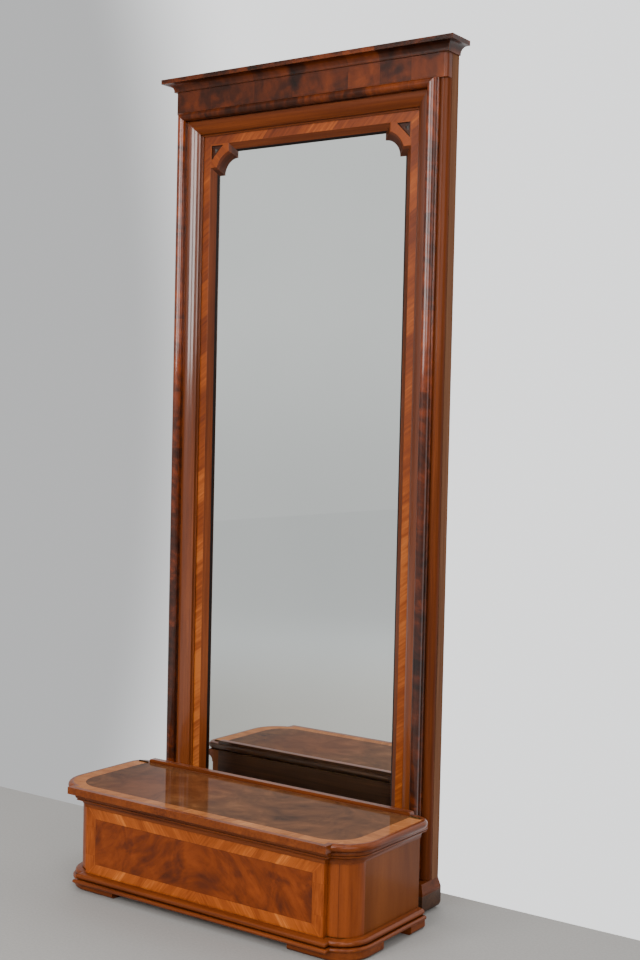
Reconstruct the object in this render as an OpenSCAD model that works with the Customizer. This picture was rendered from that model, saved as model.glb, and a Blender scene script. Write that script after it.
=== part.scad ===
// Tall pier mirror in flame veneer, with a low lidded chest standing in front of its foot.
// Millimetres. +X is to the right, -Y is to the front, +Z is up, and the floor is at Z = 0.

/* [Mirror frame] */
// Width over the two side boards
frame_w = 880; // [820:10:960]
// Height from the floor to the top of the crown
frame_h = 2180; // [2080:10:2300]
// Height of the bottom edge of the glass that shows
glass_low = 215; // [190:5:320]
// Width of the convex moulding at the outer edge
round_w = 21; // [16:1:26]
// Radius of that outer moulding
round_r = 20; // [18:1:24]
// Width of the torus moulding with its bead
torus_w = 28; // [25:1:34]
// Radius of the torus
torus_r = 12; // [10:0.5:13]
// How far the torus stands in front of the crossbanding
torus_out = 46; // [40:1:52]
// Radius of the bead beside the torus
bead_r = 2.6; // [2:0.1:3]
// Width of the ovolo moulding
ovolo_w = 35; // [28:1:42]
// How far the ovolo stands in front of the crossbanding
ovolo_out = 24; // [20:1:28]
// Radius of the ovolo's face
ovolo_r = 46; // [44:1:60]
// Width of the low step beside the ovolo
step_w = 5; // [3:0.5:8]
// How far that step stands in front of the crossbanding
step_out = 4; // [2:0.5:6]
// Width of the crossbanding
band_w = 23.5; // [18:0.5:32]
// Thickness of the crossbanded facing
facing_t = 2; // [1.5:0.5:3]
// Width of the sloping slip that holds the glass
slip_w = 22.5; // [18:0.5:28]
// Depth from the crossbanding back to the glass
slip_d = 16; // [12:1:20]
// Thickness of the slip's nose against the glass
slip_nose = 1.5; // [1:0.5:3]

/* [Glass and back] */
// Thickness of the mirror glass
glass_t = 4; // [3:0.5:6]
// How far the slip laps over the glass edge
glass_lap = 8; // [6:1:10]
// Space left around the glass in its rebate
glass_play = 1; // [0.5:0.1:2]
// Depth of the wedge blocks behind the glass
block_d = 10; // [6:1:14]
// Width of a wedge block
block_w = 12; // [8:1:16]
// Length of a wedge block
block_l = 50; // [30:5:80]
// Thickness of the back boards
back_t = 6; // [4:1:10]
// Thickness of the side boards
side_t = 12; // [8:1:16]
// Width of the groove between the outer moulding and the side board
quirk_w = 2; // [1:0.5:4]

/* [Corner brackets] */
// How far a bracket reaches along the sight edge
bracket_reach = 63; // [52:1:75]
// Straight step at each end of the bracket's arc
bracket_step = 18; // [10:1:24]
// Leg of the sunk triangle
triangle_leg = 40; // [24:1:44]
// Margin between the crossbanding and the triangle
triangle_edge = 3.5; // [2:0.5:6]
// Depth of the sunk triangle
triangle_d = 6; // [3:1:9]
// Radius of the faceted ornament in the triangle
ornament_r = 8; // [5:0.5:10]
// Height of that ornament
ornament_h = 5; // [3:0.5:6]

/* [Frieze and crown] */
// Height of the frieze board
frieze_h = 61; // [48:1:80]
// How far the frieze stands in front of the crossbanding
frieze_out = 21; // [16:1:28]
// Radius of the frieze's front corners
frieze_r = 10; // [4:1:14]
// Height of the crown
crown_h = 33; // [30:1:48]
// How far the crown stands out from the frieze
crown_out = 30; // [27:1:40]
// Height of the crown's top fillet
crown_fillet = 12; // [8:1:12]
// Radius of the crown's hollow
crown_cove = 18; // [12:1:18]
// Small fillet under the crown's hollow
crown_foot = 4; // [2:0.5:5]

/* [Mirror feet] */
// Height of a foot block
foot_h = 50; // [40:1:70]
// Height of the sloping cap on a foot
cap_h = 27; // [18:1:36]
// Plain edge at the bottom of the cap
cap_edge = 6; // [3:1:10]
// How far a foot stands out past the stile
foot_out = 9; // [5:1:14]
// Radius of the foot's rounded lower edge
foot_r = 20; // [10:1:30]

/* [Chest] */
// Width of the chest's body
chest_w = 874; // [780:4:960]
// Depth of the chest's body at its corners
chest_d = 304; // [260:5:380]
// Height of the body, without the feet and the lid
body_h = 235; // [200:1:320]
// Thickness of the body's boards
board_t = 20; // [16:1:24]
// Radius of the rounded front corners
corner_r = 62; // [45:1:80]
// How far the stepped front panel stands forward
step_out_d = 15; // [8:1:18]
// Thickness of the bottom board
bottom_t = 16; // [12:1:20]
// Height of the bottom board above the body's lower edge
bottom_z = 12; // [8:1:24]
// Space between the mirror's face and the chest's back
chest_gap = 118; // [90:2:200]
// How far the chest stands to the right of the mirror's middle
chest_shift = 38; // [-60:2:60]

/* [Chest mouldings] */
// How far the cornice stands out
cornice_out = 21; // [20:1:30]
// Height of the torus under the lid
cornice_torus = 15; // [10:0.5:16]
// Radius of the cornice's hollow
cornice_cove = 15; // [10:1:16]
// Small fillet under the cornice's hollow
cornice_foot = 3; // [1:0.5:4]
// Flat edge between the cornice's hollow and its torus
cornice_land = 3; // [0.5:0.5:4]
// Radius of the upper reed on the base
reed_top_r = 7.5; // [5:0.5:9]
// Radius of the lower reed on the base
reed_low_r = 5; // [4:0.5:7]
// How far the upper reed stands out
reed_top_out = 18; // [16:1:21]
// How far the lower reed stands out
reed_low_out = 24; // [21:1:30]
// Height of the slope above the reeds
base_slope = 1.5; // [1:0.5:4]

/* [Chest feet] */
// Height of the chest's feet
chest_foot_h = 22; // [18:1:30]
// How far the feet stand out
chest_foot_out = 20; // [17:1:24]
// Radius of the feet's rounded lower edge
chest_foot_r = 8; // [4:1:14]
// Thickness of a foot behind the body's face
chest_foot_in = 18; // [12:1:50]
// Reach of a front foot along the front
foot_front_run = 98; // [40:1:110]
// Reach of a front foot along the side
foot_side_run = 56; // [40:1:110]
// Length of a rear foot
rear_foot_l = 64; // [50:1:110]

/* [Lid] */
// Thickness of the lid
lid_t = 18; // [14:1:22]
// Space between the closed lid and the body
lid_seat = 0.3; // [0.1:0.1:0.6]
// How far the lid stands out at the sides
lid_over_side = 41; // [36:1:50]
// How far the lid's stepped front stands out past each end of the panel
lid_over_step = 30; // [24:1:48]
// How far the lid stands out at the front
lid_over_front = 40; // [38:1:56]
// Width of the rounded edging around the lid
edging_w = 14; // [12:1:24]
// Radius of the rounded rear corners of the lid and of the rail behind it
rear_corner_r = 48; // [40:1:60]
// Depth of the fixed rail behind the lid
rail_d = 31; // [31:1:36]
// Height of the raised strip on that rail
strip_h = 9; // [7:1:16]
// Depth of the raised strip
strip_d = 18; // [10:1:19]
// How far the strip stands in from the chest's back
strip_in = 8; // [7:0.5:8]
// How far each end of the strip lies in from the lid's end
strip_end = 55; // [51:1:130]
// Radius of the raised strip's top corners
strip_r = 5; // [3:0.5:6]

/* [Hinges] */
// Number of hinges: one just past each end of the strip, any others between them
hinge_n = 2; // [2:1:4]
// Space between the strip's end and the hinge beside it
hinge_clear = 1.5; // [1:0.5:3]
// Length of a hinge
hinge_l = 30; // [26:1:32]
// Length of the lid's knuckle in the middle of a hinge
knuckle_l = 10; // [8:1:12]
// Radius of a knuckle
knuckle_r = 3.2; // [2.8:0.1:3.6]
// Radius of the hinge pin
pin_r = 1.5; // [1.2:0.1:1.8]
// Clearance around the hinge pin
pin_clear = 0.05; // [0.02:0.01:0.08]
// Thickness of a hinge leaf
leaf_t = 1.5; // [1:0.1:1.8]
// Height of a hinge leaf
leaf_h = 11; // [8:1:11]
// Space between the lid and the rail behind it
lid_gap = 0.8; // [0.6:0.1:1.2]

/* [Hidden] */
$fn = 64;
eps = 0.01;
reach = 3000;
spare = 100;

// Widths across a stile, counted from its outer face
half_w = frame_w / 2;
torus_u = round_w;
ovolo_u = torus_u + torus_w;
band_u = ovolo_u + ovolo_w + step_w;
slip_u = band_u + band_w;
stile_w = slip_u + slip_w;
seat_u = stile_w - glass_lap - glass_play;

// Depths, counted back from the face of the crossbanding
glass_back = slip_d + glass_t;
block_back = glass_back + block_d;
frame_back = block_back + back_t;

// Heights on the mirror
stile_low = foot_h + cap_h;
crown_z = frame_h - crown_h;
frieze_z = crown_z - frieze_h;
rail_line = frieze_z + torus_u;
glass_high = rail_line - stile_w;
low_line = glass_low - stile_w;
board_n = 3;
board_gap = 0.5;
board_low = low_line + seat_u + board_gap;
board_high = rail_line - seat_u - board_gap;
board_l = (board_high - board_low - (board_n - 1) * board_gap) / board_n;
bracket_size = slip_w + bracket_reach;
bracket_r = bracket_reach - bracket_step;
block_rows = 4;

// The chest, in its own frame: X from its middle, Y from its back, front at -Y
half_c = chest_w / 2;
arc_x = half_c - corner_r;
arc_y = corner_r - chest_d;
front_y = -chest_d;
panel_y = -chest_d - step_out_d;
body_low = chest_foot_h;
body_top = body_low + body_h;
cornice_h = cornice_foot + cornice_cove + cornice_land + cornice_torus;
cornice_low = body_top - cornice_h;
base_h = 2 * reed_low_r + 2 * reed_top_r + base_slope;
lid_low = body_top + lid_seat;
lid_top = lid_low + lid_t;
lid_half = half_c + lid_over_side;
lid_corner_r = corner_r + lid_over_side;
lid_arc_y = lid_corner_r - chest_d - lid_over_front;
lid_step_half = arc_x + lid_over_step;
lid_front_y = panel_y - lid_over_front;
rail_t = lid_top - body_top;
rear_arc_x = lid_half - rear_corner_r;
strip_half = lid_half - strip_end;
hinge_x = strip_half + hinge_clear + hinge_l / 2;
axis_y = -rail_d - lid_gap / 2;
axis_z = lid_top;
lid_rear_y = -rail_d - lid_gap;
leaf_gap = 0.4;
knuckle_room = 0.3;
knuckle_gap = 0.4;
groove_l = hinge_l + 2 * knuckle_gap;

// The middle of the footprint, which is the origin
far_left = min(-half_w - crown_out, chest_shift - lid_half);
far_right = max(half_w + crown_out, chest_shift + lid_half);
mid_x = (far_left + far_right) / 2;
mid_y = (frame_back + lid_front_y - chest_gap) / 2;

flame = "#5a2d19";
mahogany = "#7d3a1c";
banding = "#af5c2d";
side_wood = "#82583e";
pine = "#c9a36b";
dark_wood = "#3a2418";
brass = "#b08d4a";

module in_place()
{
    translate([-mid_x, -mid_y, 0])
        children();
}

module chest_place()
{
    in_place()
        translate([chest_shift, -chest_gap, 0])
            children();
}

// On a stile, X counts from its outer face towards the glass
module on_side(side)
{
    in_place()
        translate([side * half_w, 0, 0])
            mirror([side > 0 ? 1 : 0, 0, 0])
                children();
}

module on_chest_side(side)
{
    chest_place()
        mirror([side > 0 ? 0 : 1, 0, 0])
            children();
}

// Extrudes a flat shape along X: its X becomes depth towards the front, its Y becomes height
module run_x(length)
{
    mirror([0, 1, 0])
        rotate([90, 0, 90])
            linear_extrude(length)
                children();
}

// Extrudes a flat shape towards the front: its X stays, its Y becomes height
module run_y(length)
{
    rotate([90, 0, 0])
        linear_extrude(length)
            children();
}

// Flat sections of the frame's mouldings: X across the stile, Y is depth
module round_section()
{
    intersection() {
        translate([round_w - 1, facing_t + quirk_w])
            circle(round_r);
        translate([0, facing_t + quirk_w - round_r])
            square([round_w - 1, round_r - quirk_w]);
    }
    translate([round_w - 1 - eps, facing_t + quirk_w - round_r])
        square([1 + eps, round_r - quirk_w]);
}

module torus_section()
{
    middle_u = torus_u + torus_w - torus_r - 2;
    translate([torus_u, -ovolo_out])
        square([torus_w, ovolo_out + facing_t]);
    translate([middle_u, torus_r - torus_out])
        circle(torus_r);
    translate([middle_u - torus_r + 2, torus_r - torus_out])
        square([2 * torus_r - 4, torus_out - torus_r]);
    translate([torus_u + bead_r + 0.5, -ovolo_out])
        circle(bead_r);
}

module ovolo_section()
{
    intersection() {
        translate([ovolo_u + 3, ovolo_r - ovolo_out])
            circle(ovolo_r, $fn = 128);
        translate([ovolo_u, -ovolo_out])
            square([ovolo_w, ovolo_out + facing_t]);
    }
    translate([ovolo_u + ovolo_w - eps, -step_out])
        square([step_w + eps, step_out + facing_t]);
}

module band_section()
{
    translate([band_u, 0])
        square([band_w, facing_t]);
}

module slip_section()
{
    polygon([
        [slip_u, 0],
        [stile_w, slip_d - slip_nose],
        [stile_w, slip_d],
        [slip_u, slip_d]
    ]);
}

module core_section(first_u)
{
    polygon([
        [first_u, facing_t],
        [slip_u, facing_t],
        [slip_u, slip_d],
        [seat_u, slip_d],
        [seat_u, frame_back],
        [first_u, frame_back]
    ]);
}

// The part of a stile below the top mitre and, for a slip, above the bottom mitre
module stile_zone(low, low_mitre)
{
    deep = stile_w + 1;
    run_y_centred()
        polygon([
            [0, low],
            [deep, low + low_mitre * deep],
            [deep, rail_line - deep],
            [0, rail_line]
        ]);
}

module run_y_centred()
{
    translate([0, reach / 2, 0])
        run_y(reach)
            children();
}

module stile_moulding(low, low_mitre = 0)
{
    intersection() {
        translate([0, 0, low])
            linear_extrude(rail_line - low)
                children();
        stile_zone(low, low_mitre);
    }
}

// A moulding along the top, mitred at both ends
module top_moulding()
{
    deep = stile_w + 1;
    in_place()
        intersection() {
            translate([-half_w, 0, rail_line])
                rotate([0, 90, 0])
                    linear_extrude(frame_w)
                        children();
            run_y_centred()
                polygon([
                    [-half_w, rail_line],
                    [-half_w + deep, rail_line - deep],
                    [half_w - deep, rail_line - deep],
                    [half_w, rail_line]
                ]);
        }
}

// The upper left quarter of a disc
module quarter_disc(radius)
{
    intersection() {
        circle(radius);
        translate([-radius, 0])
            square(radius);
    }
}

module box(low, high)
{
    translate(low)
        cube(high - low);
}

module stile(side)
{
    color(pine)
        on_side(side)
            translate([0, 0, stile_low])
                linear_extrude(crown_z - stile_low)
                    core_section(side_t);
}

module left_stile()
{
    stile(-1);
}

module right_stile()
{
    stile(1);
}

module top_rail()
{
    color(pine)
        in_place() {
            box([slip_u - half_w, facing_t, rail_line - slip_u],
                [half_w - slip_u, slip_d, crown_z]);
            box([seat_u - half_w, facing_t, rail_line - slip_u],
                [half_w - seat_u, frame_back, crown_z]);
            box([seat_u - half_w, slip_d, rail_line - seat_u],
                [half_w - seat_u, frame_back, crown_z]);
        }
}

module bottom_rail()
{
    color(pine)
        in_place() {
            box([slip_u - half_w, facing_t, stile_low],
                [half_w - slip_u, slip_d, low_line + slip_u]);
            box([seat_u - half_w, facing_t, stile_low],
                [half_w - seat_u, frame_back, low_line + slip_u]);
            box([seat_u - half_w, slip_d, stile_low],
                [half_w - seat_u, frame_back, low_line + seat_u]);
        }
}

module side_board(side)
{
    color(side_wood)
        on_side(side)
            box([0, facing_t + quirk_w, stile_low], [side_t, frame_back, crown_z]);
}

module left_side_board()
{
    side_board(-1);
}

module right_side_board()
{
    side_board(1);
}

module outer_round(side)
{
    color(mahogany)
        on_side(side)
            translate([0, 0, stile_low])
                linear_extrude(frieze_z - stile_low)
                    round_section();
}

module left_outer_round()
{
    outer_round(-1);
}

module right_outer_round()
{
    outer_round(1);
}

module left_torus()
{
    color(flame)
        on_side(-1)
            stile_moulding(stile_low)
                torus_section();
}

module right_torus()
{
    color(flame)
        on_side(1)
            stile_moulding(stile_low)
                torus_section();
}

module top_torus()
{
    color(flame)
        top_moulding()
            torus_section();
}

module left_ovolo()
{
    color(mahogany)
        on_side(-1)
            stile_moulding(stile_low)
                ovolo_section();
}

module right_ovolo()
{
    color(mahogany)
        on_side(1)
            stile_moulding(stile_low)
                ovolo_section();
}

module top_ovolo()
{
    color(mahogany)
        top_moulding()
            ovolo_section();
}

module left_crossband()
{
    color(banding)
        on_side(-1)
            stile_moulding(stile_low)
                band_section();
}

module right_crossband()
{
    color(banding)
        on_side(1)
            stile_moulding(stile_low)
                band_section();
}

module top_crossband()
{
    color(banding)
        top_moulding()
            band_section();
}

module bottom_facing()
{
    color(banding)
        in_place()
            box([slip_u - half_w, 0, stile_low], [half_w - slip_u, facing_t, low_line + slip_u]);
}

module side_slip(side)
{
    color(mahogany)
        difference() {
            on_side(side)
                stile_moulding(low_line, 1)
                    slip_section();
            bracket_room(side);
        }
}

module left_slip()
{
    side_slip(-1);
}

module right_slip()
{
    side_slip(1);
}

module top_slip()
{
    color(mahogany)
        difference() {
            top_moulding()
                slip_section();
            bracket_room(-1);
            bracket_room(1);
        }
}

module bottom_slip()
{
    deep = stile_w + 1;
    color(mahogany)
        in_place()
            intersection() {
                translate([half_w, 0, low_line])
                    rotate([0, -90, 0])
                        linear_extrude(frame_w)
                            slip_section();
                run_y_centred()
                    polygon([
                        [-half_w, low_line],
                        [half_w, low_line],
                        [half_w - deep, low_line + deep],
                        [-half_w + deep, low_line + deep]
                    ]);
            }
}

// Brackets: X and Z count from the inner corner of the crossbanding towards the glass
module bracket_frame(side)
{
    on_side(side)
        translate([slip_u, 0, rail_line - slip_u])
            mirror([0, 0, 1])
                children();
}

module bracket_outline()
{
    polygon([
        [0, 0],
        [bracket_reach, 0],
        [bracket_size, slip_w],
        [bracket_size, bracket_size],
        [slip_w, bracket_size],
        [0, bracket_reach]
    ]);
}

module bracket_room(side)
{
    bracket_frame(side)
        run_y_centred()
            bracket_outline();
}

// The wedge that slopes an edge of a bracket from its face back to the glass
module bracket_slope()
{
    linear_extrude(reach, center = true)
        polygon([
            [bracket_size - slip_w, -eps],
            [bracket_size - slip_w, 0],
            [bracket_size, slip_d - slip_nose],
            [bracket_size, slip_d + 1],
            [bracket_size + 1, slip_d + 1],
            [bracket_size + 1, -eps]
        ]);
}

module bracket(side)
{
    color(mahogany)
        bracket_frame(side)
            difference() {
                translate([0, slip_d, 0])
                    run_y(slip_d)
                        bracket_outline();
                translate([bracket_size, 0, bracket_size])
                    rotate([-90, 0, 0]) {
                        translate([0, 0, -eps])
                            cylinder(r1 = bracket_r + slip_w, r2 = bracket_r,
                                h = slip_d - slip_nose + eps, $fn = 96);
                        cylinder(r = bracket_r, h = slip_d + 1, $fn = 96);
                    }
                bracket_slope();
                mirror([1, 0, -1])
                    bracket_slope();
                translate([triangle_edge, triangle_d, triangle_edge])
                    run_y(triangle_d + 1)
                        polygon([[0, 0], [triangle_leg, 0], [0, triangle_leg]]);
            }
}

module left_bracket()
{
    bracket(-1);
}

module right_bracket()
{
    bracket(1);
}

module bracket_ornaments()
{
    color("silver")
        for (side = [-1, 1])
            bracket_frame(side)
                translate([triangle_edge + triangle_leg * 0.3, triangle_d,
                    triangle_edge + triangle_leg * 0.3])
                    rotate([90, 0, 0])
                        rotate([0, 0, 225])
                            cylinder(r1 = ornament_r, r2 = ornament_r * 0.1, h = ornament_h, $fn = 3);
}

module frieze()
{
    color(flame)
        in_place()
            translate([0, 0, frieze_z])
                linear_extrude(frieze_h) {
                    translate([-half_w, frieze_r - frieze_out])
                        square([frame_w, frieze_out + facing_t - frieze_r]);
                    translate([frieze_r - half_w, -frieze_out])
                        square([frame_w - 2 * frieze_r, frieze_out + facing_t]);
                    for (side = [-1, 1])
                        translate([side * (half_w - frieze_r), frieze_r - frieze_out])
                            circle(frieze_r);
                }
}

module crown_core()
{
    color(pine)
        in_place()
            box([-half_w, -frieze_out, crown_z], [half_w, frame_back, frame_h]);
}

// Section of the crown: X is how far it stands out, Y is height
module crown_section()
{
    hollow_h = crown_h - crown_fillet;
    difference() {
        square([crown_out, crown_h]);
        translate([crown_foot + crown_cove, hollow_h - crown_cove])
            quarter_disc(crown_cove);
        translate([crown_foot + crown_cove, -1])
            square([crown_out, hollow_h + 1]);
        translate([crown_foot, -1])
            square([crown_cove, hollow_h - crown_cove + 1]);
    }
}

// The mitred corner between the crown's front and a return, seen from above
module crown_corner()
{
    translate([0, 0, crown_z - 1])
        linear_extrude(crown_h + 2)
            polygon([
                [half_w, -frieze_out],
                [half_w + crown_out + 1, -frieze_out - crown_out - 1],
                [half_w + crown_out + 1, frame_back + 1],
                [half_w, frame_back + 1]
            ]);
}

module crown_front()
{
    length = frame_w + 2 * crown_out;
    color(flame)
        in_place()
            difference() {
                translate([-length / 2, -frieze_out, crown_z])
                    run_x(length)
                        crown_section();
                crown_corner();
                mirror([1, 0, 0])
                    crown_corner();
            }
}

module crown_return(side)
{
    color(flame)
        in_place()
            mirror([side > 0 ? 0 : 1, 0, 0])
                intersection() {
                    translate([half_w, frame_back, crown_z])
                        run_y(frame_back + frieze_out + crown_out)
                            crown_section();
                    crown_corner();
                }
}

module crown_left()
{
    crown_return(-1);
}

module crown_right()
{
    crown_return(1);
}

// A foot's outline in the front view, with its lower corners rounded
module foot_front_view()
{
    wide = stile_w + 2 * foot_out;
    translate([-foot_out, foot_r])
        square([wide, foot_h - foot_r]);
    translate([foot_r - foot_out, 0])
        square([wide - 2 * foot_r, foot_h]);
    for (middle = [foot_r - foot_out, stile_w + foot_out - foot_r])
        translate([middle, foot_r])
            circle(foot_r);
}

// The same in the side view, where only the front corner is rounded: X is towards the front
module foot_side_view()
{
    front = torus_out + foot_out;
    translate([-frame_back, foot_r])
        square([front + frame_back, foot_h - foot_r]);
    translate([-frame_back, 0])
        square([front + frame_back - foot_r, foot_h]);
    translate([front - foot_r, foot_r])
        circle(foot_r);
}

module foot(side)
{
    color(dark_wood)
        on_side(side)
            intersection() {
                run_y_centred()
                    foot_front_view();
                translate([-reach / 2, 0, 0])
                    run_x(reach)
                        foot_side_view();
            }
}

module left_foot()
{
    foot(-1);
}

module right_foot()
{
    foot(1);
}

module foot_caps()
{
    front = torus_out + foot_out;
    color(mahogany)
        for (side = [-1, 1])
            on_side(side)
                translate([0, 0, foot_h])
                    intersection() {
                        run_y_centred()
                            polygon([
                                [-foot_out, 0],
                                [stile_w + foot_out, 0],
                                [stile_w + foot_out, cap_edge],
                                [stile_w, cap_h],
                                [0, cap_h],
                                [-foot_out, cap_edge]
                            ]);
                        translate([-reach / 2, 0, 0])
                            run_x(reach)
                                polygon([
                                    [-frame_back, 0],
                                    [front, 0],
                                    [front, cap_edge],
                                    [torus_out, cap_h],
                                    [-frame_back, cap_h]
                                ]);
                    }
}

module mirror_glass()
{
    edge_u = stile_w - glass_lap;
    color("lightgray")
        in_place()
            box([edge_u - half_w, slip_d, low_line + edge_u],
                [half_w - edge_u, glass_back, rail_line - edge_u]);
}

module glass_blocks()
{
    seat_x = half_w - seat_u;
    tall = board_high - board_low;
    color(pine)
        in_place() {
            for (side = [-1, 1])
                for (row = [0 : block_rows - 1])
                    translate([side * (seat_x - block_w / 2), (glass_back + block_back) / 2,
                        board_low + tall * (row + 0.5) / block_rows])
                        cube([block_w, block_d, block_l], center = true);
            for (spot = [-0.6, 0, 0.6]) {
                translate([spot * seat_x, (glass_back + block_back) / 2,
                    rail_line - seat_u - block_w / 2])
                    cube([block_l, block_d, block_w], center = true);
                translate([spot * seat_x, (glass_back + block_back) / 2,
                    low_line + seat_u + block_w / 2])
                    cube([block_l, block_d, block_w], center = true);
            }
        }
}

module back_boards()
{
    board_half = half_w - seat_u - board_gap;
    color(pine)
        in_place()
            for (row = [0 : board_n - 1])
                translate([-board_half, block_back, board_low + row * (board_l + board_gap)])
                    cube([2 * board_half, back_t, board_l]);
}

module chest_bottom()
{
    color(pine)
        chest_place()
            box([board_t - half_c, board_t - chest_d, body_low + bottom_z],
                [half_c - board_t, -board_t, body_low + bottom_z + bottom_t]);
}

module chest_back()
{
    color(dark_wood)
        chest_place()
            box([board_t - half_c, -board_t, body_low], [half_c - board_t, 0, body_top]);
}

module chest_side(side)
{
    color(mahogany)
        on_chest_side(side)
            box([half_c - board_t, arc_y, body_low], [half_c, 0, body_top]);
}

module chest_left_side()
{
    chest_side(-1);
}

module chest_right_side()
{
    chest_side(1);
}

module chest_front()
{
    color(pine)
        chest_place()
            box([-arc_x, front_y, body_low], [arc_x, front_y + board_t, body_top]);
}

module front_panel()
{
    color(mahogany)
        chest_place()
            box([-arc_x, panel_y, body_low], [arc_x, front_y, body_top]);
}

module corner_post(side)
{
    color(mahogany)
        on_chest_side(side)
            difference() {
                translate([arc_x, arc_y, body_low])
                    intersection() {
                        cylinder(r = corner_r, h = body_h);
                        box([0, -corner_r, 0], [corner_r, 0, body_h]);
                    }
                // Clearance for the corner of the bottom board
                box([arc_x - 1, front_y, body_low + bottom_z],
                    [half_c - board_t, arc_y + 1, body_low + bottom_z + bottom_t]);
            }
}

module left_corner_post()
{
    corner_post(-1);
}

module right_corner_post()
{
    corner_post(1);
}

// Sections of the chest's mouldings: X is how far they stand out, Y is height
module cornice_section()
{
    soffit = cornice_foot + cornice_cove + cornice_land;
    torus_half = cornice_torus / 2;
    translate([0, cornice_low]) {
        difference() {
            square([cornice_foot + cornice_cove, soffit]);
            translate([cornice_foot + cornice_cove, cornice_foot])
                quarter_disc(cornice_cove);
            translate([cornice_foot, -1])
                square([cornice_cove + 1, cornice_foot + 1]);
        }
        translate([0, soffit])
            square([cornice_out - torus_half, cornice_torus]);
        translate([cornice_out - torus_half, soffit + torus_half])
            circle(torus_half);
    }
}

module base_section()
{
    low_mid = reed_low_r;
    top_mid = 2 * reed_low_r + reed_top_r;
    translate([0, body_low]) {
        square([reed_low_out - reed_low_r, 2 * reed_low_r]);
        translate([reed_low_out - reed_low_r, low_mid])
            circle(reed_low_r);
        translate([0, 2 * reed_low_r - eps])
            square([reed_top_out - reed_top_r, 2 * reed_top_r + eps]);
        translate([reed_top_out - reed_top_r, top_mid])
            circle(reed_top_r);
        polygon([
            [0, base_h - base_slope - eps],
            [reed_top_out - reed_top_r, base_h - base_slope - eps],
            [3, base_h],
            [0, base_h]
        ]);
    }
}

module lid_edge_section()
{
    half_t = lid_t / 2;
    translate([0, lid_low]) {
        translate([-edging_w, 0])
            square([edging_w - half_t, lid_t]);
        intersection() {
            translate([-half_t, half_t])
                circle(half_t);
            translate([-half_t - eps, 0])
                square([half_t + eps, lid_t]);
        }
    }
}

// The right-hand end of a moulding: straight along the side, then round the front corner
module edge_end(half, radius, corner_y, rear_y)
{
    translate([half, rear_y, 0])
        run_y(rear_y - corner_y)
            children();
    translate([half - radius, corner_y, 0])
        rotate([0, 0, -90])
            rotate_extrude(angle = 90, $fn = 96)
                translate([radius, 0])
                    children();
}

// A moulding round the right-hand rear corner of the lid and its rail
module rear_end()
{
    translate([rear_arc_x, -rear_corner_r, 0])
        rotate_extrude(angle = 90, $fn = 96)
            translate([rear_corner_r, 0])
                children();
}

// The stepped front of a moulding, with a mitred return at each end of the step
module edge_front(half, face_y, rear_y, low, high, inset)
{
    wide = half + spare;
    difference() {
        intersection() {
            union() {
                translate([-wide, face_y, 0])
                    run_x(2 * wide)
                        children();
                box([-wide, face_y, low], [wide, rear_y, high]);
            }
            union() {
                for (side = [0, 1])
                    mirror([side, 0, 0])
                        translate([half, rear_y, 0])
                            run_y(rear_y - face_y + spare)
                                children();
                box([-half, face_y - spare, low], [half, rear_y, high]);
            }
        }
        box([inset - half, face_y + inset, low - 1], [half - inset, rear_y + 1, high + 1]);
    }
}

// What stands inside a moulding's front corner, to cut its stepped front against
module corner_fill(arc_mid_x, arc_mid_y, radius, low, high)
{
    for (side = [0, 1])
        mirror([side, 0, 0])
            translate([arc_mid_x, arc_mid_y, 0])
                rotate([0, 0, -90])
                    rotate_extrude(angle = 90, $fn = 96) {
                        translate([radius, 0])
                            children();
                        translate([0, low])
                            square([radius, high - low]);
                    }
}

module cornice_end(side)
{
    color(mahogany)
        on_chest_side(side)
            edge_end(half_c, corner_r, arc_y, 0)
                cornice_section();
}

module cornice_left()
{
    cornice_end(-1);
}

module cornice_right()
{
    cornice_end(1);
}

module cornice_front()
{
    color(mahogany)
        chest_place()
            difference() {
                edge_front(arc_x, panel_y, arc_y, cornice_low, body_top, 0)
                    cornice_section();
                corner_fill(arc_x, arc_y, corner_r, cornice_low - 1, body_top + 1)
                    cornice_section();
            }
}

module base_end(side)
{
    color(mahogany)
        on_chest_side(side)
            edge_end(half_c, corner_r, arc_y, 0)
                base_section();
}

module base_left()
{
    base_end(-1);
}

module base_right()
{
    base_end(1);
}

module base_front()
{
    color(mahogany)
        chest_place()
            difference() {
                edge_front(arc_x, panel_y, arc_y, body_low, body_low + base_h, 0)
                    base_section();
                corner_fill(arc_x, arc_y, corner_r, body_low - 1, body_low + base_h + 1)
                    base_section();
            }
}

// Section of a chest foot: an upright face with a rounded lower edge
module chest_foot_section(inside)
{
    translate([-inside, chest_foot_r])
        square([inside + chest_foot_out, chest_foot_h - chest_foot_r]);
    translate([-inside, 0])
        square([inside + chest_foot_out - chest_foot_r, chest_foot_r + eps]);
    translate([chest_foot_out - chest_foot_r, chest_foot_r])
        circle(chest_foot_r);
}

module chest_front_feet()
{
    color(mahogany)
        for (side = [-1, 1])
            on_chest_side(side) {
                translate([half_c, arc_y + foot_side_run, 0])
                    run_y(foot_side_run)
                        chest_foot_section(chest_foot_in);
                translate([arc_x, arc_y, 0])
                    rotate([0, 0, -90])
                        rotate_extrude(angle = 90, $fn = 96)
                            translate([corner_r, 0])
                                chest_foot_section(corner_r);
                translate([arc_x - foot_front_run, front_y, 0])
                    run_x(foot_front_run)
                        chest_foot_section(chest_foot_in);
            }
}

module chest_rear_feet()
{
    color(mahogany)
        for (side = [-1, 1])
            on_chest_side(side)
                translate([half_c, 0, 0])
                    run_y(rear_foot_l)
                        chest_foot_section(chest_foot_in);
}

module hinge_spots()
{
    for (number = [0 : hinge_n - 1])
        translate([hinge_x * (2 * number / (hinge_n - 1) - 1), axis_y, axis_z])
            rotate([0, 90, 0])
                children();
}

// A round bar on a hinge's axis
module hinge_bar(radius, length)
{
    cylinder(r = radius, h = length, center = true, $fn = 48);
}

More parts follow.
